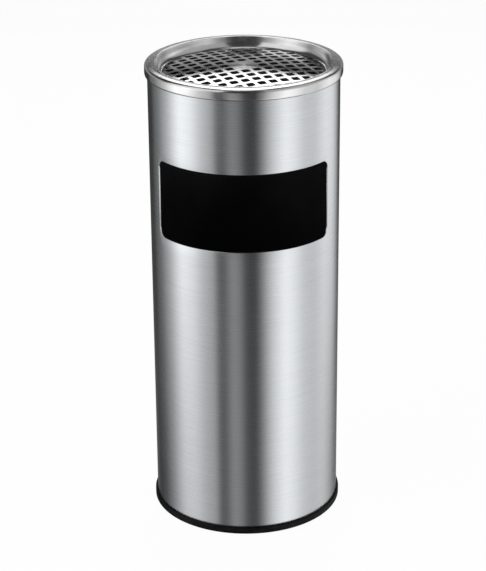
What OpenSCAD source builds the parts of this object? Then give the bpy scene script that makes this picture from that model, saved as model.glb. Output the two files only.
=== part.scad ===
// Round litter bin with an ash tray top: a brushed steel tube with a letterbox
// opening, a lift-off polished ash top with a domed perforated grate, a lift-out
// inner bucket with a bail handle, and a black base ring.
// Millimetres, +Z up, origin at the centre of the base on the floor.
// The opening faces -Y.

/* [Overall] */
// Height from the floor to the lip of the ash bowl
overall_h = 610; // [560:1:700]
// Outer diameter of the steel tube
tube_d = 244; // [230:1:280]
// Sheet thickness of the tube
tube_wall = 1.2; // [0.8:0.1:1.5]

/* [Opening] */
// Height of the lower edge of the opening above the floor
opening_z = 397.5; // [360:0.5:420]
// Height of the opening
opening_h = 102; // [80:1:110]
// Angle that the opening spans round the tube
opening_angle = 120.6; // [80:0.2:130]
// Corner radius of the opening
opening_r = 12; // [6:1:20]
// Depth of the folded edge round the opening
opening_fold = 1.6; // [1.4:0.1:3]

/* [Ash top] */
// Outer diameter of the collar that caps the tube
collar_d = 251; // [250:1:290]
// Height of the collar's skirt
skirt_h = 15.4; // [10:0.1:20]
// Sheet thickness of the collar and the bowl
top_wall = 1; // [0.8:0.1:1.2]
// Inner radius of the collar's flat ring
ring_in_r = 113.6; // [112:0.1:115]
// Depth from the lip to the ledge that carries the grate
ledge_drop = 15; // [12:0.5:20]
// Depth from the lip to the floor of the ash bowl
bowl_depth = 52; // [40:1:70]

/* [Grate] */
// Rise of the grate's dome from edge to centre
grate_crown = 7.5; // [0:0.5:10]
// Sheet thickness of the grate
grate_wall = 1; // [0.8:0.1:1.5]
// Spacing of the square holes
hole_pitch = 15.4; // [13:0.1:20]
// Width of a square hole
hole_w = 10.6; // [8:0.1:13]
// Corner radius of a hole
hole_r = 2.2; // [1:0.1:3]
// Angle of the rows of holes
hole_angle = 26.5; // [0:0.5:45]
// Diameter of the plain disc at the centre
disc_d = 35; // [30:1:45]

/* [Inner bucket] */
// Outer diameter of the bucket's wall
bucket_d = 222; // [200:1:226]
// Height of the bucket
bucket_h = 294; // [250:1:300]
// Diameter of the handle wire
bail_wire_d = 5; // [4:0.5:6]
// Diameter of the grip on the handle wire
grip_d = 9.4; // [8:0.2:10]
// Length of the grip along the handle wire, as an angle
grip_angle = 56; // [40:1:80]

/* [Base] */
// Outer diameter of the base ring
base_d = 250; // [248:1:288]
// Height of the base ring's outer lip
base_h = 9; // [8:0.1:14]

/* [Hidden] */
$fn = 96;

steel = [0.74, 0.75, 0.76];
polished = [0.86, 0.86, 0.85];
black = [0.07, 0.07, 0.07];
galvanised = [0.55, 0.57, 0.58];

tube_r = tube_d / 2;
tube_in = tube_r - tube_wall;
gap = 0.3;                       // clearance between pieces of different bodies
eps = 0.01;

// Base: the ring's groove holds the tube's lower edge, its inner flange carries the floor.
groove_z = 3;
base_flange_h = 6;
base_in_r = 112;
base_edge_r = 0.8;               // rounding of the foot
base_lip_r = 1.4;                // rounding of the lip's top
plate_t = 1.2;
plate_flange_h = 16;
floor_top = base_flange_h + plate_t;
screw_ring_r = 116.5;
screw_head_r = 3.4;
screw_head_h = 2;
screw_r = 1.6;
screw_sink = 1;                  // how far the heads are sunk into the ring's underside
screw_socket = 1;                // depth of the hexagon socket
screw_count = 4;

// Top: the bowl's lip is the highest point and lies on the collar's flat ring.
lip_t = 0.7;
collar_r = collar_d / 2;
collar_top = overall_h - lip_t;
collar_corner = 4;
skirt_z = overall_h - skirt_h;
skirt_lip_r = tube_r + 0.5;      // the skirt's lower edge curls in to this radius
skirt_curl = 3;
tube_top = collar_top - top_wall - gap;
tube_hem = 3;                    // fold at the tube's upper edge
opening_reach = 12;              // depth of the opening's cutter to each side of the tube's face
fan_inset = 0.02;                // how much lower the cutter's fan is at its top and bottom
ledge_z = overall_h - ledge_drop;
ledge_out_r = 105.4;
ledge_in_r = 99;
bowl_floor_z = overall_h - bowl_depth;
bowl_floor_r = 84;
bowl_corner = 8;
lip_out_r = ring_in_r + 1.6;

// Grate: the dome is a slice of a sphere whose edge lies on the ledge.
grate_r = 104.6;
grate_edge_z = ledge_z + gap;
dome_r = (grate_r * grate_r + grate_crown * grate_crown) / (2 * grate_crown);
dome_centre_z = grate_edge_z + grate_crown - dome_r;
perforated_r = grate_r - 3.4;
min_hole = 3.2;                  // a hole cut narrower than this by the border is left out

// Bucket: rolled sheet wall, wired rim, recessed floor.
bucket_r = bucket_d / 2;
bucket_t = 1;
bucket_z = floor_top + gap;
bucket_top = bucket_z + bucket_h;
bead_r = 3;
bead_wire_r = 2;
bead_z = bucket_top - bead_r;
bead_ring_r = bucket_r + bead_r - bucket_t;
floor_recess = 8;
floor_flange = 6;

// Handle: the wire lies on the rim towards the opening and swings over to the back.
wire_r = bail_wire_d / 2;
grip_r = grip_d / 2;
pin_r = wire_r - 0.2;
pin_head_r = 3.6;
pin_head_t = 1;
pivot_z = bucket_top + grip_r + gap;
bail_r = bucket_r + 2;
lug_t = 1.5;
lug_out_r = bucket_r - bucket_t;
lug_angle = 10;
lug_drop = 26;
lug_rise = pivot_z - bucket_top + 6;
eye_r = pin_r + 0.08;
pin_in_x = lug_out_r - lug_t - 3;
rivet_r = 2;
rivet_head_r = 3.6;
rivet_head_h = 1.2;
rivet_z = bucket_top - 18;
rivet_angle = 2.4;                // of each rivet to each side of the lug's middle

// A ring with a rectangular section.
module hoop(inner, outer, z, h) {
    translate([0, 0, z]) difference() {
        cylinder(r = outer, h = h);
        translate([0, 0, -eps]) cylinder(r = inner, h = h + 2 * eps);
    }
}

// A rounded rectangle centred on the origin.
module rounded(w, h, r) {
    square([w - 2 * r, h], center = true);
    square([w, h - 2 * r], center = true);
    for (x = [-1, 1], y = [-1, 1]) translate([x * (w / 2 - r), y * (h / 2 - r)]) circle(r = r);
}

// A wedge of a ring between two angles measured from -Y towards +X.
module ring_wedge(inner, outer, from, to, z, h) {
    translate([0, 0, z]) rotate([0, 0, from - 90])
        rotate_extrude(angle = to - from) translate([inner, 0]) square([outer - inner, h]);
}

// The opening's outline as a cutter, grown by "grow": a fan-shaped block with a round-ended
// block at each side, all pointing away from the tube's axis. The fan is a hair lower than the
// round-ended blocks, so that no two faces of the cutter fall together.
module opening_cutter(grow) {
    r = opening_r + grow;
    h = opening_h + 2 * grow;
    end_angle = opening_angle / 2 - atan(opening_r / tube_r);
    across = sin(end_angle);
    along = -cos(end_angle);
    fan_in = tube_r - 2 * opening_reach;
    fan_out = tube_r + 4 * opening_reach;
    translate([0, 0, opening_z - grow + fan_inset]) linear_extrude(h - 2 * fan_inset)
        polygon([[-fan_in * across, fan_in * along], [-fan_out * across, fan_out * along],
                 [0, -fan_out], [fan_out * across, fan_out * along], [fan_in * across, fan_in * along]]);
    for (side = [-1, 1]) rotate([0, 0, side * end_angle])
        translate([0, opening_reach - tube_r, opening_z + opening_h / 2]) rotate([90, 0, 0])
            linear_extrude(2 * opening_reach) {
                square([2 * r, h - 2 * r], center = true);
                for (y = [-1, 1]) translate([0, y * (h / 2 - r)]) circle(r = r);
            }
}

// The folded edges start inside the wall, so that they join it.
module outer_shell() {
    joined_r = tube_in + tube_wall / 2;
    color(steel) difference() {
        union() {
            hoop(tube_in, tube_r, groove_z, tube_top - groove_z);
            hoop(tube_in + tube_wall - tube_hem, joined_r, tube_top - tube_wall, tube_wall);
            intersection() {
                hoop(tube_r - opening_fold, joined_r, opening_z - 10, opening_h + 20);
                opening_cutter(tube_wall);
            }
        }
        opening_cutter(0);
    }
}

// The screws' places, evenly spaced on a ring, at height z.
module at_screws(z) {
    for (i = [0 : screw_count - 1])
        rotate([0, 0, 45 + 360 / screw_count * i]) translate([screw_ring_r, 0, z]) children();
}

module base_ring() {
    color(black) difference() {
        union() {
            hoop(base_in_r, base_d / 2 - base_edge_r, 0, base_flange_h);
            rotate_extrude() translate([tube_r, 0]) ring_lip_section();
        }
        hoop(tube_in, tube_r, groove_z, base_h);
        at_screws(-eps) {
            cylinder(r = screw_r, h = base_flange_h + 1);
            cylinder(r = screw_head_r, h = screw_head_h + screw_sink + eps);
        }
    }
}

// Section of the base ring's outer lip, with a rounded top and a rounded foot.
module ring_lip_section() {
    w = base_d / 2 - tube_r;
    top_r = base_lip_r;
    square([w - base_edge_r, base_h - top_r]);
    translate([0, base_edge_r]) square([w, base_h - base_edge_r - top_r]);
    translate([w - base_edge_r, base_edge_r]) circle(r = base_edge_r);
    square([w - top_r, base_h]);
    translate([w - top_r, base_h - top_r]) circle(r = top_r);
}

module base_plate() {
    color(galvanised) difference() {
        union() {
            translate([0, 0, base_flange_h]) cylinder(r = tube_in, h = plate_t);
            hoop(tube_in - plate_t, tube_in, base_flange_h, plate_flange_h);
        }
        at_screws(0) cylinder(r = screw_r, h = floor_top + 1);
    }
}

module base_screws() {
    color(galvanised) at_screws(screw_sink) difference() {
        union() {
            cylinder(r = screw_head_r, h = screw_head_h);
            cylinder(r = screw_r, h = floor_top - screw_sink);
        }
        translate([0, 0, -eps]) cylinder(r = screw_r, h = screw_socket, $fn = 6);
    }
}

// Points of a quarter turn from straight up to straight out.
function quarter(cx, cz, r) = [for (a = [0 : 10 : 90]) [cx + r * sin(a), cz + r * cos(a)]];

// The same points in the other direction.
function quarter_back(cx, cz, r) = [for (a = [90 : -10 : 0]) [cx + r * sin(a), cz + r * cos(a)]];

// Section of the collar: flat ring, rounded shoulder, skirt, inward curl.
module collar_section() {
    t = top_wall;
    c = collar_corner;
    cx = collar_r - c;
    cz = collar_top - c;
    polygon(concat([[ring_in_r, collar_top - t], [ring_in_r, collar_top]], quarter(cx, cz, c),
                   [[collar_r, skirt_z + skirt_curl], [collar_r - 0.5, skirt_z + 1.2],
                    [collar_r - 1.8, skirt_z], [skirt_lip_r, skirt_z], [skirt_lip_r, skirt_z + 0.9],
                    [collar_r - 2.1, skirt_z + 0.9], [collar_r - t, skirt_z + skirt_curl]],
                   quarter_back(cx, cz, c - t)));
}

module rim_collar() {
    color(polished) rotate_extrude() collar_section();
}

// Section of the ash bowl: lip over the collar, coved wall, ledge, bowl wall, floor.
module bowl_section() {
    t = top_wall;
    in_r = ring_in_r - t;
    polygon([[lip_out_r, overall_h - lip_t], [lip_out_r, overall_h - 0.3],
             [lip_out_r - 0.3, overall_h], [in_r + 0.4, overall_h], [in_r - 0.2, overall_h - 0.5],
             [in_r - 0.35, overall_h - 1.2], [in_r - 1.6, ledge_z + 7.5], [in_r - 3.2, ledge_z + 3.6],
             [in_r - 5, ledge_z + 1.3], [ledge_out_r, ledge_z], [ledge_in_r + 0.6, ledge_z],
             [ledge_in_r, ledge_z - 0.6], [ledge_in_r - 3, bowl_floor_z + bowl_corner + 3],
             [bowl_floor_r + bowl_corner, bowl_floor_z + 3.4],
             [bowl_floor_r + 3.6, bowl_floor_z + 1], [bowl_floor_r, bowl_floor_z],
             [0, bowl_floor_z], [0, bowl_floor_z - t],
             [bowl_floor_r + 0.2, bowl_floor_z - t], [bowl_floor_r + 4.2, bowl_floor_z],
             [bowl_floor_r + bowl_corner + 0.8, bowl_floor_z + 2.8],
             [ledge_in_r - 3 + t, bowl_floor_z + bowl_corner + 3], [ledge_in_r + t, ledge_z - t],
             [ledge_out_r + 0.2, ledge_z - t], [in_r - 4.4, ledge_z + 0.5],
             [in_r - 2.4, ledge_z + 3.1], [in_r - 0.6, ledge_z + 7.2],
             [in_r + 0.4, overall_h - 2], [in_r + t, overall_h - lip_t - t],
             [in_r + t, overall_h - lip_t]]);
}

module ash_bowl() {
    color(polished) rotate_extrude() bowl_section();
}

// Section of the grate: a domed sheet of constant thickness.
module dome_section() {
    intersection() {
        translate([0, dome_centre_z]) difference() {
            circle(r = dome_r + grate_wall, $fn = 360);
            circle(r = dome_r, $fn = 360);
        }
        translate([0, grate_edge_z]) square([grate_r, grate_crown + grate_wall + 1]);
    }
}

// Rows of square holes, cut off round by the plain border and by the plain disc in the middle.
module hole_pattern() {
    n = ceil(grate_r / hole_pitch) + 1;
    difference() {
        intersection() {
            rotate(hole_angle) for (i = [-n : n], j = [-n : n]) {
                x = (i + 0.5) * hole_pitch;
                y = (j + 0.5) * hole_pitch;
                nearest = norm([max(abs(x) - hole_w / 2, 0), max(abs(y) - hole_w / 2, 0)]);
                if (nearest < perforated_r - min_hole) translate([x, y]) rounded(hole_w, hole_w, hole_r);
            }
            circle(r = perforated_r);
        }
        circle(r = disc_d / 2);
    }
}

module ash_grate() {
    color(polished) difference() {
        rotate_extrude() dome_section();
        translate([0, 0, grate_edge_z - 1]) linear_extrude(grate_crown + grate_wall + 3) hole_pattern();
    }
}

module bucket_wall() {
    color(black) difference() {
        rotate_extrude() {
            translate([bucket_r - bucket_t, bucket_z]) square([bucket_t, bucket_h - bead_r]);
            translate([bead_ring_r, bead_z]) difference() {
                circle(r = bead_r);
                circle(r = bead_wire_r);
                translate([-bead_r, -bead_r - eps]) square([bead_r + 0.6, bead_r - bead_wire_r + 0.4]);
            }
        }
        lug_rivet_holes();
    }
}

module bucket_floor() {
    color(black) rotate_extrude() {
        translate([0, bucket_z + floor_recess]) square([bucket_r - bucket_t, bucket_t]);
        translate([bucket_r - 2 * bucket_t, bucket_z + floor_recess - floor_flange])
            square([bucket_t, floor_flange + eps]);
    }
}

module bucket_rim_wire() {
    color(galvanised) rotate_extrude() translate([bead_ring_r, bead_z]) circle(r = bead_wire_r);
}

// The axes of the lugs' rivets, all pointing away from the bucket's axis: +Z becomes outwards.
module at_lug_rivets() {
    for (side = [-1, 1], a = [-rivet_angle, rivet_angle])
        rotate([0, 0, side * 90 + a]) translate([0, 0, rivet_z]) rotate([90, 0, 0]) children();
}

module lug_rivet_holes() {
    at_lug_rivets() translate([0, 0, bucket_r - 10]) cylinder(r = rivet_r, h = 15);
}

// A curved plate inside the rim that stands above it and carries the handle's eye.
module handle_lug(side) {
    color(black) difference() {
        rotate([0, 0, side * 90]) ring_wedge(lug_out_r - lug_t, lug_out_r, -lug_angle / 2, lug_angle / 2,
                                             bucket_top - lug_drop, lug_drop + lug_rise);
        translate([side * (lug_out_r - 10), 0, pivot_z]) rotate([0, side * 90, 0]) cylinder(r = eye_r, h = 20);
        lug_rivet_holes();
    }
}

// The inner heads stand 0.1 off the lug, which curves away from under them.
module lug_rivets() {
    inner_face = lug_out_r - lug_t - 0.1;
    color(galvanised) at_lug_rivets() {
        translate([0, 0, inner_face - rivet_head_h]) cylinder(r = rivet_head_r, h = rivet_head_h);
        translate([0, 0, inner_face - eps]) cylinder(r = rivet_r, h = bucket_r - inner_face + 2 * eps);
        translate([0, 0, bucket_r]) cylinder(r = rivet_head_r, h = rivet_head_h);
    }
}

// The handle's bow lies flat over the half of the rim towards the opening.
module bail_wire() {
    color(galvanised) translate([0, 0, pivot_z]) {
        rotate(180) rotate_extrude(angle = 180) translate([bail_r, 0]) circle(r = wire_r);
        for (side = [-1, 1]) rotate([0, side * 90, 0]) {
            translate([0, 0, pin_in_x]) cylinder(r = pin_r, h = bail_r - pin_in_x);
            translate([0, 0, pin_in_x]) cylinder(r = pin_head_r, h = pin_head_t);
        }
    }
}

module bail_grip() {
    color(black) translate([0, 0, pivot_z]) rotate(270 - grip_angle / 2)
        rotate_extrude(angle = grip_angle) translate([bail_r, 0]) difference() {
            circle(r = grip_r);
            circle(r = wire_r);
        }
}

outer_shell();
base_ring();
base_plate();
base_screws();
rim_collar();
ash_bowl();
ash_grate();
bucket_wall();
bucket_floor();
bucket_rim_wire();
handle_lug(-1);  // handle_lug_left
handle_lug(1);  // handle_lug_right
lug_rivets();
bail_wire();
bail_grip();
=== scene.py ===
# Round brushed steel litter bin with an ash top: visible surfaces, materials, light and camera.
# Metres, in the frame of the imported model. Lengths in millimetres are multiplied by MM.
import math

import bmesh
import bpy
from mathutils import Euler, Matrix, Vector
from mathutils.geometry import delaunay_2d_cdt


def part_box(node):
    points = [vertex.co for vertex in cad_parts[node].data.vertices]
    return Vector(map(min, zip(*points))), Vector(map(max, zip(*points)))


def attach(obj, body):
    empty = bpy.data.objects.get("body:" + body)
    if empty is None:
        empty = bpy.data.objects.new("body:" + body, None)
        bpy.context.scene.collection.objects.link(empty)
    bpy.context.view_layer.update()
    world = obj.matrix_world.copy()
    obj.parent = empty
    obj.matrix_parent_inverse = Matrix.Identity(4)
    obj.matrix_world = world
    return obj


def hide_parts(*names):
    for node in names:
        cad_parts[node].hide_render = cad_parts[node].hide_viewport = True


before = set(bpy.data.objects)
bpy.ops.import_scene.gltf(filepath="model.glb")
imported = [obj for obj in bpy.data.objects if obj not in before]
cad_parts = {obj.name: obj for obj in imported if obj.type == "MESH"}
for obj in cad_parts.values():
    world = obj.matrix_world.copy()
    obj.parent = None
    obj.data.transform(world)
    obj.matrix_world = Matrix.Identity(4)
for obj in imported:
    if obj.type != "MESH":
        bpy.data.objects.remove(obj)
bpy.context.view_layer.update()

MM = 0.001
TURN = 2 * math.pi

# ---------------------------------------------------------------- dimensions, in millimetres
shell_low, shell_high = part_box("outer_shell")
collar_low, collar_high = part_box("rim_collar")
bowl_low, bowl_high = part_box("ash_bowl")
grate_low, grate_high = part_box("ash_grate")
ring_low, ring_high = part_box("base_ring")

TUBE_R = shell_high.x / MM
TUBE_WALL = 1.2
TUBE_TOP = shell_high.z / MM
TUBE_BOTTOM = shell_low.z / MM
HEM = 3.0

# the opening: lower edge, height, half its width as an angle, corner radius, depth of its folded edge
OPEN_Z = 397.5
OPEN_H = 102.0
OPEN_HALF = math.radians(60.3)
OPEN_R = 12.0
FOLD = 1.6

# the ash top: sheet, collar with its shoulder, bowl with its ledge and floor below the lip
SHEET = 1.0
COLLAR_R = collar_high.x / MM
COLLAR_TOP = collar_high.z / MM
COLLAR_IN = 113.6
CORNER = 4.0
SKIRT_Z = collar_low.z / MM
LIP_Z = bowl_high.z / MM
LEDGE_Z = LIP_Z - 15.0
BOWL_FLOOR_Z = LIP_Z - 52.0
# how far below the ledge the bowl's painted shade begins, in millimetres
SHADE_BELOW_LEDGE = 0.2

# the grate: dome, holes and their spacing, plain disc in the middle, plain border
GRATE_R = grate_high.x / MM
GRATE_TOP = grate_high.z / MM
GRATE_CROWN = 7.5
PITCH = 15.4
HOLE = 10.6
HOLE_R = 2.2
HOLE_ANGLE = math.radians(26.5)
SMALLEST_HOLE_AREA = 9.0
DISC_R = 17.5
BORDER_R = GRATE_R - 3.4

# the base ring: outline, bore, groove for the tube's edge, height of the inner flange
RING_R = ring_high.x / MM
RING_H = ring_high.z / MM
RING_IN = 112.0
RING_GROOVE = 3.0
RING_FLANGE = 6.0

# how finely the round pieces are divided
TURN_STEPS = 288
GRATE_STEPS = 240
OPENING_STEPS = 110
CORNER_STEPS = 10
REST_STEPS = 230


# ---------------------------------------------------------------- mesh helpers
def turn_angles(count):
    """Angles of a full turn in equal steps, in radians."""
    return [TURN * i / count for i in range(count)]


def new_object(name, bm, material, smooth_angle=35):
    """A mesh object from bm, with smooth shading up to smooth_angle."""
    mesh = bpy.data.meshes.new(name)
    bmesh.ops.recalc_face_normals(bm, faces=bm.faces)
    bm.to_mesh(mesh)
    bm.free()
    obj = bpy.data.objects.new(name, mesh)
    bpy.context.scene.collection.objects.link(obj)
    mesh.materials.append(material)
    mesh.shade_smooth()
    mesh.set_sharp_from_angle(angle=math.radians(smooth_angle))
    return obj


def round_point(bm, r, a, z):
    """A vertex at radius r and height z in millimetres, at angle a round the Z axis from -Y."""
    return bm.verts.new((r * math.sin(a) * MM, -r * math.cos(a) * MM, z * MM))


def bridge(bm, one, two):
    """Faces between two closed loops with the same number of vertices."""
    for i in range(len(one)):
        j = (i + 1) % len(one)
        corners = list(dict.fromkeys((one[i], one[j], two[j], two[i])))
        if len(corners) > 2:
            bm.faces.new(corners)


def revolve(name, profile, material, closed=True):
    """A profile of (radius, height) points turned round the Z axis. closed joins its ends."""
    bm = bmesh.new()
    loops = []
    for r, z in profile:
        if r == 0:
            loops.append([round_point(bm, 0, 0, z)] * TURN_STEPS)
        else:
            loops.append([round_point(bm, r, a, z) for a in turn_angles(TURN_STEPS)])
    if closed:
        loops.append(loops[0])
    for low, high in zip(loops, loops[1:]):
        bridge(bm, low, high)
    return new_object(name, bm, material)


def arc(cx, cz, r, start, end, steps):
    """Points on a circle, angles in degrees anticlockwise from straight out."""
    turns = [math.radians(start + (end - start) * k / steps) for k in range(steps + 1)]
    return [(cx + r * math.cos(t), cz + r * math.sin(t)) for t in turns]


def rounded_path(points, radius, steps=4):
    """A chain of points with each inner corner rounded by up to radius, less where its sides are short."""
    most = 1 / 2.2
    out = [points[0]]
    for before, here, after in zip(points, points[1:], points[2:]):
        corner = Vector(here)
        back = Vector(before) - corner
        ahead = Vector(after) - corner
        reach = min(radius, back.length * most, ahead.length * most)
        start = corner + back.normalized() * reach
        end = corner + ahead.normalized() * reach
        for k in range(steps + 1):
            t = k / steps
            q = start * (1 - t) ** 2 + corner * 2 * t * (1 - t) + end * t ** 2
            out.append((q.x, q.y))
    out.append(points[-1])
    return out


# ---------------------------------------------------------------- outer shell with its opening
def opening_columns():
    """Columns of the shell's grid, as (angle from -Y, rise), in three runs round the tube.

    The first run crosses the opening to its right end, the second goes round the back, and the third
    follows the corners at the left end. rise is how far a rounded corner has moved the opening's lower
    edge up and its upper edge down, in millimetres. It is the full corner radius behind the opening.
    """
    corner_turn = OPEN_R / TUBE_R
    flat_end = OPEN_HALF - corner_turn
    corner = []
    for k in range(CORNER_STEPS + 1):
        t = math.pi / 2 * k / CORNER_STEPS
        corner.append((flat_end + corner_turn * math.sin(t), OPEN_R * (1 - math.cos(t))))
    across = [(-flat_end + 2 * flat_end * k / OPENING_STEPS, 0.0) for k in range(OPENING_STEPS)]
    rest = TURN - 2 * OPEN_HALF
    behind = [(OPEN_HALF + rest * k / REST_STEPS, OPEN_R) for k in range(1, REST_STEPS)]
    left = [(-angle, rise) for angle, rise in corner[:0:-1]]
    return across + corner, behind, left


def shell_bmesh():
    """The tube's sheet: outside, folded edge of the opening, inside, hemmed top edge."""
    front, behind, left = opening_columns()
    columns = front + behind + left
    count = len(columns)
    right_end = len(front) - 1
    left_end = len(front) + len(behind)
    over_opening = list(range(left_end, count)) + list(range(right_end + 1))
    bm = bmesh.new()
    below_steps, above_steps, side_steps = 24, 10, 8
    # beside the opening, the columns behind it make room for its growth and take it up over this many
    fade_columns = 6

    def steps(low, high, number):
        return [low + (high - low) * i / number for i in range(number + 1)]

    def grown(k, grow):
        """Column k with the opening's outline moved outwards by grow: angle, lower edge, upper edge."""
        a, rise = columns[k]
        low, high = OPEN_Z + rise, OPEN_Z + OPEN_H - rise
        if right_end < k < left_end:
            return a, low, high
        sideways = 0.0
        upright = 1.0
        flat_end = OPEN_HALF - OPEN_R / TUBE_R
        if abs(a) > flat_end:
            sideways = min(1.0, (abs(a) - flat_end) / (OPEN_R / TUBE_R))
            upright = math.sqrt(max(0.0, 1 - sideways * sideways))
        a += math.copysign(grow * sideways / TUBE_R, a)
        return a, low - grow * upright, high + grow * upright

    def skin(r, grow, bottom, top, slot):
        """Grid over the tube at radius r, open over the opening. Returns its vertices by column."""
        grid = []
        for k in range(count):
            a, low, high = grown(k, grow)
            behind_opening = right_end < k < left_end
            if behind_opening:
                from_right, from_left = k - right_end, left_end - k
                fade = max(0.0, 1 - min(from_right, from_left) / fade_columns)
                side = 1 if from_right < from_left else -1
                a += side * grow * fade / TUBE_R
            column = {
                "below": [round_point(bm, r, a, z) for z in steps(bottom, low, below_steps)],
                "above": [round_point(bm, r, a, z) for z in steps(high, top, above_steps)],
            }
            if behind_opening or k in (right_end, left_end):
                column["middle"] = [round_point(bm, r, a, z) for z in steps(low, high, side_steps)[1:-1]]
            grid.append(column)

        def strip(one, two):
            for i in range(len(one) - 1):
                bm.faces.new((one[i], two[i], two[i + 1], one[i + 1])).material_index = slot

        for one, two in zip(grid, grid[1:] + grid[:1]):
            for part in ("below", "above"):
                strip(one[part], two[part])
            if "middle" in one and "middle" in two:
                strip([one["below"][-1]] + one["middle"] + [one["above"][0]],
                      [two["below"][-1]] + two["middle"] + [two["above"][0]])
        return grid

    def outline(grid):
        """The vertices of a skin round the opening, in order."""
        low = [grid[k]["below"][-1] for k in over_opening]
        high = [grid[k]["above"][0] for k in over_opening]
        return low + grid[right_end]["middle"] + high[::-1] + grid[left_end]["middle"][::-1]

    def edge_ring(r, grow):
        """A free ring of vertices along the opening's outline at radius r."""
        points = [grown(k, grow) for k in over_opening]
        low = [round_point(bm, r, a, low_edge) for a, low_edge, _ in points]
        high = [round_point(bm, r, a, high_edge) for a, _, high_edge in points]
        right, left = [[round_point(bm, r, a, z) for z in steps(low_edge, high_edge, side_steps)[1:-1]]
                       for a, low_edge, high_edge in (points[-1], points[0])]
        return low + right + high[::-1] + left[::-1]

    outer = skin(TUBE_R, 0.55, TUBE_BOTTOM, TUBE_TOP - 1.0, 0)
    inner = skin(TUBE_R - TUBE_WALL, TUBE_WALL, TUBE_BOTTOM, TUBE_TOP - TUBE_WALL, 1)

    # the folded edge, as (radius, growth of the outline) from the outside over the fold to the inside
    fold_r = TUBE_R - FOLD
    fold = [(TUBE_R - 0.04, 0.3), (TUBE_R - 0.2, 0.08), (TUBE_R - 0.55, 0.0), (fold_r + 0.35, 0.0),
            (fold_r + 0.08, 0.1), (fold_r, 0.35), (fold_r, 0.85), (fold_r + 0.1, 1.12),
            (fold_r + 0.35, TUBE_WALL)]
    loops = [outline(outer)] + [edge_ring(r, grow) for r, grow in fold] + [outline(inner)]
    for one, two in zip(loops, loops[1:]):
        bridge(bm, one, two)

    # the hem of the top edge, as (radius, height) from the outside over the edge to the inside
    hem_r = TUBE_R - HEM
    hem = [(TUBE_R - 0.1, TUBE_TOP - 0.5), (TUBE_R - 0.4, TUBE_TOP - 0.12), (TUBE_R - 0.8, TUBE_TOP),
           (hem_r + 0.4, TUBE_TOP), (hem_r + 0.1, TUBE_TOP - 0.15), (hem_r, TUBE_TOP - 0.6),
           (hem_r + 0.1, TUBE_TOP - 1.05), (hem_r + 0.4, TUBE_TOP - TUBE_WALL)]
    loops = [[column["above"][-1] for column in outer]]
    loops += [[round_point(bm, r, a, z) for a, _ in columns] for r, z in hem]
    loops += [[column["above"][-1] for column in inner]]
    for one, two in zip(loops, loops[1:]):
        bridge(bm, one, two)

    bridge(bm, [column["below"][0] for column in outer], [column["below"][0] for column in inner])
    return bm


# ---------------------------------------------------------------- ash top
def collar_profile():
    """Closed section of the collar: inner edge, ring, shoulder, skirt with its inward curl, underside."""
    corner_r, corner_z = COLLAR_R - CORNER, COLLAR_TOP - CORNER
    edge = [(COLLAR_IN, COLLAR_TOP - 0.3), (COLLAR_IN + 0.3, COLLAR_TOP)]
    # the ring falls away a little towards its shoulder, steeper with each millimetre
    fall = 0.012
    ring = [(COLLAR_IN + 1.6 + k, COLLAR_TOP - fall * k * k) for k in range(7)]
    shoulder = arc(corner_r, corner_z - 0.25, CORNER, 78, 0, 12)
    skirt = [(COLLAR_R, SKIRT_Z + 5.5), (COLLAR_R, SKIRT_Z + 3.2)]
    curl = [(COLLAR_R - 0.06, SKIRT_Z + 2.3), (COLLAR_R - 0.3, SKIRT_Z + 1.3),
            (COLLAR_R - 0.8, SKIRT_Z + 0.5), (COLLAR_R - 1.6, SKIRT_Z + 0.08),
            (COLLAR_R - 2.4, SKIRT_Z), (TUBE_R + 0.7, SKIRT_Z),
            (TUBE_R + 0.5, SKIRT_Z + 0.2), (TUBE_R + 0.5, SKIRT_Z + 0.7), (TUBE_R + 0.7, SKIRT_Z + 0.9),
            (COLLAR_R - 1.9, SKIRT_Z + 1.0), (COLLAR_R - 1.3, SKIRT_Z + 1.6),
            (COLLAR_R - SHEET, SKIRT_Z + 3.2)]
    under = arc(corner_r, corner_z, CORNER - SHEET, 0, 90, 6) + [(COLLAR_IN + 0.2, COLLAR_TOP - SHEET)]
    return edge + ring + shoulder + skirt + curl + under


def bowl_profile():
    """Section of the bowl from the middle of its floor, up its inside, over the lip, down outside."""
    in_r = COLLAR_IN - SHEET
    inside = [(60.0, BOWL_FLOOR_Z), (82.0, BOWL_FLOOR_Z), (91.5, BOWL_FLOOR_Z + 4), (96.0, BOWL_FLOOR_Z + 14),
              (99.0, LEDGE_Z - 1.0), (99.6, LEDGE_Z), (105.2, LEDGE_Z)]
    cove = [(in_r - 5.0, LEDGE_Z + 1.2), (in_r - 3.2, LEDGE_Z + 3.5), (in_r - 1.65, LEDGE_Z + 7.4),
            (in_r - 1.0, LEDGE_Z + 10.6)]
    lip = [(in_r - 0.35, LIP_Z - 1.2), (in_r - 0.2, LIP_Z - 0.55), (in_r + 0.1, LIP_Z - 0.14),
           (in_r + 0.6, LIP_Z), (COLLAR_IN + 0.7, LIP_Z), (COLLAR_IN + 1.2, LIP_Z - 0.12),
           (COLLAR_IN + 1.45, LIP_Z - 0.35), (COLLAR_IN + 1.5, LIP_Z - 0.68),
           (COLLAR_IN - 0.05, LIP_Z - 0.72), (COLLAR_IN - 0.05, LIP_Z - 1.6)]
    outside = [(in_r + 0.4, LIP_Z - 2.4), (in_r - 0.6, LEDGE_Z + 7.2), (in_r - 2.4, LEDGE_Z + 3.0),
               (in_r - 4.4, LEDGE_Z + 0.4), (105.4, LEDGE_Z - SHEET), (100.2, LEDGE_Z - SHEET),
               (97.0, BOWL_FLOOR_Z + 13), (92.4, BOWL_FLOOR_Z + 3), (82.2, BOWL_FLOOR_Z - SHEET),
               (0.0, BOWL_FLOOR_Z - SHEET)]
    top = [(0.0, BOWL_FLOOR_Z)] + rounded_path(inside + cove + [lip[0]], 3.0)[:-1] + lip
    return top + rounded_path(outside, 2.0)


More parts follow.
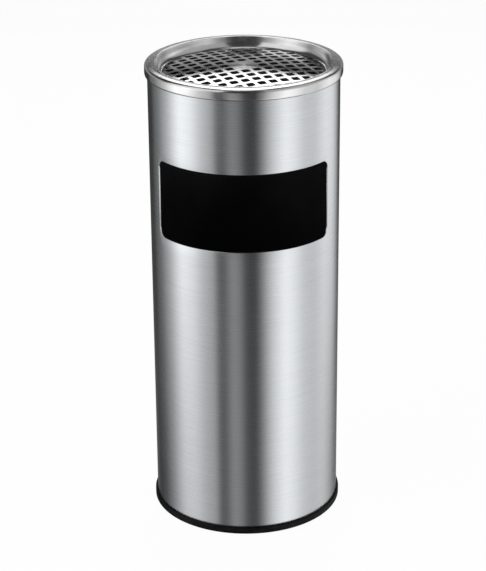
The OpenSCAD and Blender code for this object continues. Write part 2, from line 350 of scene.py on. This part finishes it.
def dome_z(r):
    """Height of the grate's upper face at radius r."""
    sphere_r = (GRATE_R ** 2 + GRATE_CROWN ** 2) / (2 * GRATE_CROWN)
    return GRATE_TOP - sphere_r + math.sqrt(sphere_r * sphere_r - r * r)


def clip(polygon, centre, radius, keep_inside):
    """The part of a polygon inside or outside a circle, with a straight side where the circle cuts it."""
    def depth(p):
        inwards = radius - (p - centre).length
        return inwards if keep_inside else -inwards

    out = []
    for p, q in zip(polygon, polygon[1:] + polygon[:1]):
        dp, dq = depth(p), depth(q)
        if dp >= 0:
            out.append(p)
        if (dp >= 0) != (dq >= 0):
            out.append(p + (q - p) * (dp / (dp - dq)))
    return out


def on_circle(polygon, centre, radius, parts=4):
    """Adds points between two neighbours that both lie on the circle, so the cut edge is round."""
    def lies_on(p):
        return abs((p - centre).length - radius) < 1e-4

    out = []
    for p, q in zip(polygon, polygon[1:] + polygon[:1]):
        out.append(p)
        if lies_on(p) and lies_on(q):
            for k in range(1, parts):
                out.append(centre + (p - centre).lerp(q - centre, k / parts).normalized() * radius)
    return out


def grate_holes():
    """Outlines of the holes: rounded squares cut off by the border and the plain disc."""
    holes = []
    square = []
    half = HOLE / 2
    for side_x, side_y, start in ((1, 1, 0), (-1, 1, 90), (-1, -1, 180), (1, -1, 270)):
        square += arc(side_x * (half - HOLE_R), side_y * (half - HOLE_R), HOLE_R, start, start + 90, 5)
    reach = int(GRATE_R / PITCH) + 2
    turn = Matrix.Rotation(HOLE_ANGLE, 2)
    zero = Vector((0, 0))
    for i in range(-reach, reach):
        for j in range(-reach, reach):
            middle = Vector(((i + 0.5) * PITCH, (j + 0.5) * PITCH))
            shape = [turn @ (Vector(p) + middle) for p in square]
            shape = clip(shape, zero, BORDER_R, True)
            if len(shape) < 3:
                continue
            shape = on_circle(shape, zero, BORDER_R)
            if (turn @ middle).length < DISC_R + HOLE:
                shape = clip(shape, zero, DISC_R, False)
                if len(shape) < 3:
                    continue
                shape = on_circle(shape, zero, DISC_R)
            area = abs(sum(p.cross(q) for p, q in zip(shape, shape[1:] + shape[:1]))) / 2
            if area > SMALLEST_HOLE_AREA:
                holes.append(shape)
    return holes


def is_inside(p, polygon):
    """Whether the point p lies inside the polygon, by counting the sides to its right."""
    crossings = 0
    for q, r in zip(polygon, polygon[1:] + polygon[:1]):
        if (q.y > p.y) != (r.y > p.y) and p.x < q.x + (r.x - q.x) * (p.y - q.y) / (r.y - q.y):
            crossings += 1
    return crossings % 2 == 1


def flat_circle(r, count):
    """Points of a circle round the origin, in the plane."""
    return [Vector((r * math.cos(a), r * math.sin(a))) for a in turn_angles(count)]


def grate_bmesh():
    """The domed sheet with its holes: both faces, the walls of the holes and the outer edge."""
    edge_rounding = 0.35
    rim = flat_circle(GRATE_R, GRATE_STEPS)
    holes = grate_holes()

    # the outlines are edges of the flat net, and further circles keep its triangles small
    points, edges, outlines = [], [], []
    for loop in [rim] + holes:
        start, count = len(points), len(loop)
        outlines.append(range(start, start + count))
        points += loop
        edges += [(start + k, start + (k + 1) % count) for k in range(count)]
    for r, count in ((GRATE_R - 1.2, GRATE_STEPS), (BORDER_R + 0.5, GRATE_STEPS), (DISC_R - 0.8, 60),
                     (DISC_R * 0.72, 48), (DISC_R * 0.45, 32), (DISC_R * 0.2, 16)):
        points += flat_circle(r, count)
    made, _, triangles, kept, _, _ = delaunay_2d_cdt(points, edges, [], 0, 1e-5)
    new_index = {old: new for new, sources in enumerate(kept) for old in sources}

    boxes = [(min(p.x for p in hole), max(p.x for p in hole), min(p.y for p in hole), max(p.y for p in hole))
             for hole in holes]

    def in_hole(p):
        return any(x0 < p.x < x1 and y0 < p.y < y1 and is_inside(p, hole)
                   for hole, (x0, x1, y0, y1) in zip(holes, boxes))

    bm = bmesh.new()
    upper, lower = [], []
    for p in made:
        z = dome_z(min(p.length, GRATE_R))
        rounding = edge_rounding if p.length > GRATE_R - 0.01 else 0.0
        upper.append(bm.verts.new((p.x * MM, p.y * MM, (z - rounding) * MM)))
        lower.append(bm.verts.new((p.x * MM, p.y * MM, (z - SHEET + rounding) * MM)))
    for a, b, c in triangles:
        if not in_hole((made[a] + made[b] + made[c]) / 3):
            bm.faces.new((upper[a], upper[b], upper[c]))
            bm.faces.new((lower[c], lower[b], lower[a]))
    for outline in outlines:
        loop = [new_index[k] for k in outline]
        for a, b in zip(loop, loop[1:] + loop[:1]):
            if a != b:
                bm.faces.new((upper[a], upper[b], lower[b], lower[a]))
    loose = [v for v in bm.verts if not v.link_faces]
    bmesh.ops.delete(bm, geom=loose, context="VERTS")
    return bm


# ---------------------------------------------------------------- base ring
def ring_profile():
    """Section of the rubber base ring: foot, rounded outer lip, groove for the tube, inner flange."""
    foot_r = 0.8
    lip_r = 1.4
    tube_in = TUBE_R - TUBE_WALL
    foot = [(RING_IN + 0.5, 0.0)] + arc(RING_R - foot_r, foot_r, foot_r, -90, 0, 5)
    side = [(RING_R, 3.5), (RING_R, 5.5)]
    lip = arc(RING_R - lip_r, RING_H - lip_r, lip_r, 0, 90, 6)
    groove = [(TUBE_R + 0.35, RING_H), (TUBE_R, RING_H - 0.3), (TUBE_R, RING_GROOVE), (tube_in, RING_GROOVE)]
    flange = [(tube_in, RING_FLANGE), (RING_IN + 0.4, RING_FLANGE), (RING_IN, RING_FLANGE - 0.4),
              (RING_IN, 0.5)]
    return foot + side + lip + groove + flange


# ---------------------------------------------------------------- materials
class Nodes:
    """Short calls for building a node tree round a Principled shader."""

    def __init__(self, name):
        self.material = bpy.data.materials.new(name)
        self.material.use_nodes = True
        self.tree = self.material.node_tree
        self.shader = self.tree.nodes["Principled BSDF"]

    def add(self, kind, **values):
        """A node of this kind, with these properties or input values."""
        node = self.tree.nodes.new(kind)
        for key, value in values.items():
            if hasattr(node, key):
                setattr(node, key, value)
            else:
                node.inputs[key.replace("_", " ")].default_value = value
        return node

    def link(self, source, target):
        self.tree.links.new(source, target)

    def set(self, **values):
        """Sets the shader's own sockets."""
        for key, value in values.items():
            self.shader.inputs[key.replace("_", " ")].default_value = value

    def coordinates(self, scale):
        """Object coordinates in metres, multiplied by scale."""
        coords = self.add("ShaderNodeTexCoord")
        mapping = self.add("ShaderNodeMapping")
        mapping.inputs["Scale"].default_value = scale
        self.link(coords.outputs["Object"], mapping.inputs["Vector"])
        return mapping.outputs["Vector"]

    def radius(self):
        """Distance from the Z axis, in metres."""
        coords = self.add("ShaderNodeTexCoord")
        flat = self.add("ShaderNodeVectorMath", operation="MULTIPLY")
        flat.inputs[1].default_value = (1, 1, 0)
        self.link(coords.outputs["Object"], flat.inputs[0])
        length = self.add("ShaderNodeVectorMath", operation="LENGTH")
        self.link(flat.outputs["Vector"], length.inputs[0])
        return length.outputs["Value"]

    def noise(self, vector, detail=3.0, rough=0.6):
        node = self.add("ShaderNodeTexNoise", Scale=1.0, Detail=detail, Roughness=rough)
        self.link(vector, node.inputs["Vector"])
        return node.outputs["Fac"]

    def spread(self, value, low, high, start=0.25, end=0.75):
        """Maps a noise value to the range from low to high."""
        node = self.add("ShaderNodeMapRange")
        node.inputs["From Min"].default_value = start
        node.inputs["From Max"].default_value = end
        node.inputs["To Min"].default_value = low
        node.inputs["To Max"].default_value = high
        self.link(value, node.inputs["Value"])
        return node.outputs["Result"]

    def sum(self, one, two):
        node = self.add("ShaderNodeMath", operation="ADD")
        self.link(one, node.inputs[0])
        self.link(two, node.inputs[1])
        return node.outputs["Value"]

    def colours(self, value, stops):
        """A ramp from value to colour. stops are (position, (r, g, b))."""
        node = self.add("ShaderNodeValToRGB")
        ramp = node.color_ramp
        while len(ramp.elements) < len(stops):
            ramp.elements.new(0.5)
        for element, (position, colour) in zip(ramp.elements, stops):
            element.position = position
            element.color = (*colour, 1)
        self.link(value, node.inputs["Fac"])
        self.link(node.outputs["Color"], self.shader.inputs["Base Color"])

    def roughness(self, value):
        self.link(value, self.shader.inputs["Roughness"])

    def tangent_round_z(self):
        """Points the anisotropic highlight round the object's axis."""
        tangent = self.add("ShaderNodeTangent", direction_type="RADIAL", axis="Z")
        self.link(tangent.outputs["Tangent"], self.shader.inputs["Tangent"])

    def bump(self, height, strength, distance):
        """Relief from a height value. distance is in metres."""
        node = self.add("ShaderNodeBump", Strength=strength, Distance=distance)
        self.link(height, node.inputs["Height"])
        self.link(node.outputs["Normal"], self.shader.inputs["Normal"])


def brushed_stainless():
    """Fine grain round the tube, with faint long streaks and a few handling smudges."""
    n = Nodes("brushed_stainless")
    fine = n.noise(n.coordinates((30, 30, 3600)), detail=4, rough=0.7)
    coarse = n.noise(n.coordinates((16, 16, 900)), detail=2)
    smudge = n.noise(n.coordinates((9, 9, 7)), detail=3)
    grain = n.sum(fine, coarse)
    n.colours(n.spread(grain, 0.0, 1.0, 0.6, 1.4),
              [(0.0, (0.65, 0.67, 0.69)), (1.0, (0.755, 0.775, 0.79))])
    n.roughness(n.sum(n.spread(fine, 0.21, 0.29), n.spread(smudge, -0.015, 0.03)))
    n.bump(grain, 0.05, 0.00008)
    n.set(Metallic=1.0, Anisotropic=0.75, Anisotropic_Rotation=0.25)
    n.tangent_round_z()
    return n.material


def polished_stainless(name, low, high, marks):
    """Spun and polished sheet: faint rings round the axis, soft smears.

    low and high are the range of roughness, and marks is the strength of the spinning marks.
    """
    n = Nodes(name)
    across = n.add("ShaderNodeCombineXYZ", Y=0.3)
    n.link(n.radius(), across.inputs["X"])
    fine = n.add("ShaderNodeVectorMath", operation="SCALE")
    fine.inputs["Scale"].default_value = 2600.0
    n.link(across.outputs["Vector"], fine.inputs[0])
    spun = n.noise(fine.outputs["Vector"], detail=3)
    smear = n.noise(n.coordinates((30, 30, 30)), detail=4)
    n.colours(n.spread(n.sum(spun, smear), 0.0, 1.0, 0.7, 1.3),
              [(0.0, (0.70, 0.70, 0.70)), (1.0, (0.86, 0.86, 0.855))])
    n.roughness(n.sum(n.spread(smear, low, high), n.spread(spun, -0.015, 0.015)))
    n.bump(spun, marks, 0.00008)
    n.set(Metallic=1.0, Anisotropic=0.85, Anisotropic_Rotation=0.25)
    n.tangent_round_z()
    return n.material


def bowl_painted_shade():
    """The ash bowl under its grate: painted shade, steel made near black in uneven patches to stand in for
    the shade under the grate.
    """
    n = Nodes("bowl_painted_shade")
    patch = n.noise(n.coordinates((40, 40, 40)), detail=5)
    dust = n.noise(n.coordinates((700, 700, 700)), detail=2)
    n.colours(n.spread(patch, 0.0, 1.0), [(0.0, (0.05, 0.048, 0.045)), (1.0, (0.16, 0.155, 0.15))])
    n.roughness(n.spread(n.sum(patch, dust), 0.42, 0.62, 0.7, 1.3))
    n.bump(dust, 0.1, 0.0002)
    n.set(Metallic=0.8)
    return n.material


def black_coating():
    """Black stove enamel with a slight orange peel and paler rubbed patches."""
    n = Nodes("black_coated_steel")
    peel = n.noise(n.coordinates((900, 900, 900)), detail=2)
    worn = n.noise(n.coordinates((14, 14, 10)), detail=5)
    n.colours(n.spread(worn, 0.0, 1.0, 0.35, 0.8),
              [(0.0, (0.050, 0.050, 0.052)), (1.0, (0.085, 0.085, 0.088))])
    n.roughness(n.spread(worn, 0.36, 0.50))
    n.bump(peel, 0.12, 0.0002)
    n.set(Specular_IOR_Level=0.9)
    return n.material


def galvanised():
    """Zinc coat: soft spangle with a dull, uneven sheen."""
    n = Nodes("galvanised_steel")
    spangle = n.add("ShaderNodeTexVoronoi", feature="F1", Scale=190.0)
    n.link(n.coordinates((1, 1, 1)), spangle.inputs["Vector"])
    grey = n.add("ShaderNodeSeparateColor")
    n.link(spangle.outputs["Color"], grey.inputs["Color"])
    fine = n.noise(n.coordinates((700, 700, 700)), detail=3)
    n.colours(grey.outputs["Red"], [(0.0, (0.40, 0.41, 0.42)), (1.0, (0.56, 0.57, 0.58))])
    n.roughness(n.sum(n.spread(grey.outputs["Green"], 0.32, 0.46, 0, 1), n.spread(fine, -0.03, 0.03)))
    n.bump(fine, 0.08, 0.0001)
    n.set(Metallic=1.0)
    return n.material


def black_rubber():
    """Moulded rubber: soft sheen, fine texture, a little dust in patches."""
    n = Nodes("black_rubber")
    fine = n.noise(n.coordinates((1500, 1500, 1500)), detail=2)
    dust = n.noise(n.coordinates((60, 60, 160)), detail=4)
    n.colours(n.spread(dust, 0.0, 1.0, 0.4, 0.8),
              [(0.0, (0.004, 0.004, 0.004)), (1.0, (0.016, 0.016, 0.015))])
    n.roughness(n.spread(dust, 0.34, 0.52))
    n.bump(fine, 0.15, 0.00015)
    n.set(Specular_IOR_Level=0.08)
    return n.material


def black_plastic():
    """Moulded grip: matt, finely pebbled."""
    n = Nodes("black_plastic")
    pebble = n.noise(n.coordinates((1100, 1100, 1100)), detail=1)
    rub = n.noise(n.coordinates((60, 60, 60)), detail=3)
    n.colours(n.spread(rub, 0.0, 1.0), [(0.0, (0.018, 0.018, 0.018)), (1.0, (0.034, 0.034, 0.034))])
    n.roughness(n.spread(rub, 0.48, 0.62))
    n.bump(pebble, 0.25, 0.0003)
    return n.material


steel = brushed_stainless()
polished = polished_stainless("polished_stainless", 0.16, 0.22, 0.05)
polished_grate = polished_stainless("polished_grate", 0.10, 0.17, 0.08)
# near-black steel for the bowl under the grate: painted shade
shade_steel = bowl_painted_shade()
coating = black_coating()
zinc = galvanised()
rubber = black_rubber()
plastic = black_plastic()


# ---------------------------------------------------------------- pieces
def place(piece, node, body):
    """Puts a piece in the place of a CAD node, which it hides, on its body."""
    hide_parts(node)
    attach(piece, body)


shell = new_object("shell_skin", shell_bmesh(), steel)
shell.data.materials.append(coating)
place(shell, "outer_shell", "bin_body")

ring = revolve("base_ring_skin", ring_profile(), rubber)
place(ring, "base_ring", "bin_body")

collar = revolve("collar_skin", collar_profile(), polished)
place(collar, "rim_collar", "ash_top")

bowl = revolve("bowl_skin", bowl_profile(), polished, closed=False)
bowl.data.materials.append(shade_steel)
# painted shade: the bowl's faces below the ledge take the near-black steel that stands in for the shade under
# the grate
for face in bowl.data.polygons:
    if face.center.z < (LEDGE_Z - SHADE_BELOW_LEDGE) * MM:
        face.material_index = 1
place(bowl, "ash_bowl", "ash_top")

grate = new_object("grate_skin", grate_bmesh(), polished_grate, smooth_angle=40)
place(grate, "ash_grate", "grate")

# the other CAD nodes keep their shape and get these materials
CAD_MATERIALS = {
    "base_plate": zinc,
    "base_screws": zinc,
    "bucket_wall": coating,
    "bucket_floor": coating,
    "bucket_rim_wire": zinc,
    "handle_lug_left": coating,
    "handle_lug_right": coating,
    "lug_rivets": zinc,
    "bail_wire": zinc,
    "bail_grip": plastic,
}
for node_name, material in CAD_MATERIALS.items():
    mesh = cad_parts[node_name].data
    mesh.materials.clear()
    mesh.materials.append(material)


# ---------------------------------------------------------------- floor, backdrop and light
def stage_material(name, colour, glow):
    """Plain pale surface of the studio. glow is how much it lights up by itself."""
    material = bpy.data.materials.new(name)
    material.use_nodes = True
    shader = material.node_tree.nodes["Principled BSDF"]
    shader.inputs["Base Color"].default_value = (*colour, 1)
    shader.inputs["Roughness"].default_value = 0.9
    shader.inputs["Specular IOR Level"].default_value = 0.0
    shader.inputs["Emission Color"].default_value = (1, 1, 1, 1)
    shader.inputs["Emission Strength"].default_value = glow
    return material


def add_floor(radius=9.0, gap=0.4 * MM):
    """A pale disc under the object, a small gap below it so that no two faces coincide."""
    bm = bmesh.new()
    bm.faces.new([bm.verts.new((radius * math.cos(a), radius * math.sin(a), -gap)) for a in turn_angles(96)])
    floor = new_object("floor", bm, stage_material("floor_white", (0.08, 0.08, 0.08), 0.955))
    floor.visible_glossy = False
    floor.visible_shadow = False


def add_backdrop(radius=12.0):
    """A pale dome round the whole studio, seen only behind the object."""
    bm = bmesh.new()
    bmesh.ops.create_icosphere(bm, subdivisions=4, radius=radius)
    backdrop = new_object("backdrop", bm, stage_material("backdrop_white", (0.0, 0.0, 0.0), 0.99))
    for ray in ("diffuse", "glossy", "transmission", "shadow", "volume_scatter"):
        setattr(backdrop, "visible_" + ray, False)


add_floor()
add_backdrop()

world = bpy.data.worlds.new("studio")
world.use_nodes = True
background = world.node_tree.nodes["Background"]
background.inputs["Color"].default_value = (1, 1, 1, 1)
background.inputs["Strength"].default_value = 0.05
bpy.context.scene.world = world


# The studio's light wall, by direction in degrees round the Z axis from -Y. Each row is
# (direction, brightness above the bin's top, beside the bin, near and below the floor).
WALL = [
    (-180, 0.26, 0.02, 0.30),
    (-164, 0.26, 0.02, 0.20),
    (-152, 0.26, 0.04, 0.10),
    (-140, 0.26, 0.02, 0.03),
    (-130, 0.30, 0.16, 0.05),
    (-120, 0.33, 0.21, 0.05),
    (-100, 0.42, 0.66, 0.23),
    (-80, 1.05, 1.50, 0.62),
    (-64, 1.45, 1.17, 0.68),
    (-50, 1.05, 0.66, 0.50),
    (-37, 0.60, 0.46, 0.42),
    (-31, 0.40, 0.09, 0.10),
    (-24, 0.20, 0.10, 0.11),
    (-14, 0.05, 0.36, 0.34),
    (-6, 0.02, 0.30, 0.29),
    (2, 0.01, 0.08, 0.10),
    (14, 0.04, 0.04, 0.06),
    (21, 0.14, 0.24, 0.23),
    (34, 0.42, 0.80, 0.82),
    (50, 0.82, 1.32, 1.24),
    (62, 0.72, 1.14, 1.06),
    (76, 0.55, 0.80, 0.76),
    (92, 0.75, 0.74, 0.64),
    (112, 1.05, 1.05, 0.68),
    (130, 0.45, 0.95, 0.38),
    (143, 0.25, 0.48, 0.14),
    (152, 0.24, 0.04, 0.10),
    (162, 0.26, 0.02, 0.20),
    (172, 0.26, 0.02, 0.25),
]
ABOVE, BESIDE, BELOW = 1, 2, 3
WALL_R = 2.4
# heights between which the wall fades from BELOW to BESIDE, and from BESIDE to ABOVE
FADE_BESIDE = (-1.15, -0.35)
FADE_ABOVE = (0.1, 0.4)


def emission_material(name, strength):
    """A glowing material. Returns it with its tree and emission node."""
    material = bpy.data.materials.new(name)
    material.use_nodes = True
    tree = material.node_tree
    tree.nodes.clear()
    glow = tree.nodes.new("ShaderNodeEmission")
    glow.inputs["Strength"].default_value = strength
    out = tree.nodes.new("ShaderNodeOutputMaterial")
    tree.links.new(glow.outputs["Emission"], out.inputs["Surface"])
    return material, tree, glow


def wall_direction(tree, parts):
    """Position's direction round the Z axis from -Y, as 0 to 1 for -180 to 180 degrees."""
    minus = tree.nodes.new("ShaderNodeMath")
    minus.operation = "MULTIPLY"
    minus.inputs[1].default_value = -1.0
    tree.links.new(parts.outputs["Y"], minus.inputs[0])
    angle = tree.nodes.new("ShaderNodeMath")
    angle.operation = "ARCTAN2"
    tree.links.new(parts.outputs["X"], angle.inputs[0])
    tree.links.new(minus.outputs["Value"], angle.inputs[1])
    share = tree.nodes.new("ShaderNodeMapRange")
    share.inputs["From Min"].default_value = -math.pi
    share.inputs["From Max"].default_value = math.pi
    tree.links.new(angle.outputs["Value"], share.inputs["Value"])
    return share.outputs["Result"]


def wall_ramp(tree, direction, column, brightest):
    """Brightness by direction from one column of WALL, as a share of the brightest."""
    ramp = tree.nodes.new("ShaderNodeValToRGB")
    elements = ramp.color_ramp.elements
    while len(elements) < len(WALL):
        elements.new(0.5)
    for element, row in zip(elements, WALL):
        element.position = (row[0] + 180) / 360
        element.color = (row[column] / brightest,) * 3 + (1,)
    tree.links.new(direction, ramp.inputs["Fac"])
    return ramp.outputs["Color"]


def wall_material():
    """Brightness of the wall by direction, fading with height from one column of WALL to the next."""
    brightest = max(max(row[ABOVE:]) for row in WALL)
    material, tree, glow = emission_material("light_wall", brightest)
    geometry = tree.nodes.new("ShaderNodeNewGeometry")
    parts = tree.nodes.new("ShaderNodeSeparateXYZ")
    tree.links.new(geometry.outputs["Position"], parts.inputs["Vector"])
    direction = wall_direction(tree, parts)
    colour = wall_ramp(tree, direction, BELOW, brightest)
    for column, (start, end) in ((BESIDE, FADE_BESIDE), (ABOVE, FADE_ABOVE)):
        rise = tree.nodes.new("ShaderNodeMapRange")
        rise.inputs["From Min"].default_value = start
        rise.inputs["From Max"].default_value = end
        tree.links.new(parts.outputs["Z"], rise.inputs["Value"])
        mix = tree.nodes.new("ShaderNodeMix")
        mix.data_type = "RGBA"
        tree.links.new(rise.outputs["Result"], mix.inputs["Factor"])
        tree.links.new(colour, mix.inputs["A"])
        tree.links.new(wall_ramp(tree, direction, column, brightest), mix.inputs["B"])
        colour = mix.outputs["Result"]
    tree.links.new(colour, glow.inputs["Color"])
    return material


def studio_light(name, bm, material):
    """A glowing sheet that lights the object and isn't seen itself."""
    light = new_object(name, bm, material)
    light.visible_camera = False
    light.visible_shadow = False


def light_wall(low=-2.6, high=1.3, count=128):
    """A round wall of soft light about the bin."""
    bm = bmesh.new()
    lower, upper = [[round_point(bm, WALL_R / MM, a, z / MM) for a in turn_angles(count)]
                    for z in (low, high)]
    bridge(bm, lower, upper)
    studio_light("light_wall", bm, wall_material())


def light_patch(name, azimuth, elevation, strength, radius=2.6, height=0.6, steps=12):
    """A soft light on a sphere about the bin's top, from and to these angles in degrees."""
    bm = bmesh.new()
    grid = []
    for i in range(steps + 1):
        e = math.radians(elevation[0] + (elevation[1] - elevation[0]) * i / steps)
        across, up = radius * math.cos(e), radius * math.sin(e)
        row = []
        for k in range(steps + 1):
            a = math.radians(azimuth[0] + (azimuth[1] - azimuth[0]) * k / steps)
            row.append(bm.verts.new((across * math.sin(a), -across * math.cos(a), height + up)))
        grid.append(row)
    for one, two in zip(grid, grid[1:]):
        for k in range(steps):
            bm.faces.new((one[k], one[k + 1], two[k + 1], two[k]))
    material, _, _ = emission_material(name, strength)
    studio_light(name, bm, material)


light_wall()
light_patch("overhead_back", (166, 196), (21.8, 72), 2.1)
light_patch("overhead_left", (-95, -24), (17, 62), 0.9)
light_patch("overhead_right", (26, 125), (17, 62), 0.42)
light_patch("zenith", (-180, 180), (74, 90), 0.4)


# ---------------------------------------------------------------- camera
# position in metres; tilt up from straight down, turn round the Z axis and roll, in degrees
CAMERA_AT = (0.0604, -2.4286, 1.3192)
CAMERA_TILT = 67.296
CAMERA_TURN = 1.5
CAMERA_ROLL = -0.49

camera_data = bpy.data.cameras.new("camera")
camera_data.sensor_width = 36
camera_data.lens = 126.04
camera_data.dof.use_dof = False
camera_data.clip_end = 60
camera = bpy.data.objects.new("camera", camera_data)
bpy.context.scene.collection.objects.link(camera)
camera.location = CAMERA_AT
look = Euler((math.radians(CAMERA_TILT), 0, math.radians(CAMERA_TURN))).to_matrix().to_4x4()
camera.rotation_euler = (look @ Matrix.Rotation(math.radians(CAMERA_ROLL), 4, "Z")).to_euler()
bpy.context.scene.camera = camera
bpy.context.scene.view_settings.view_transform = "Standard"
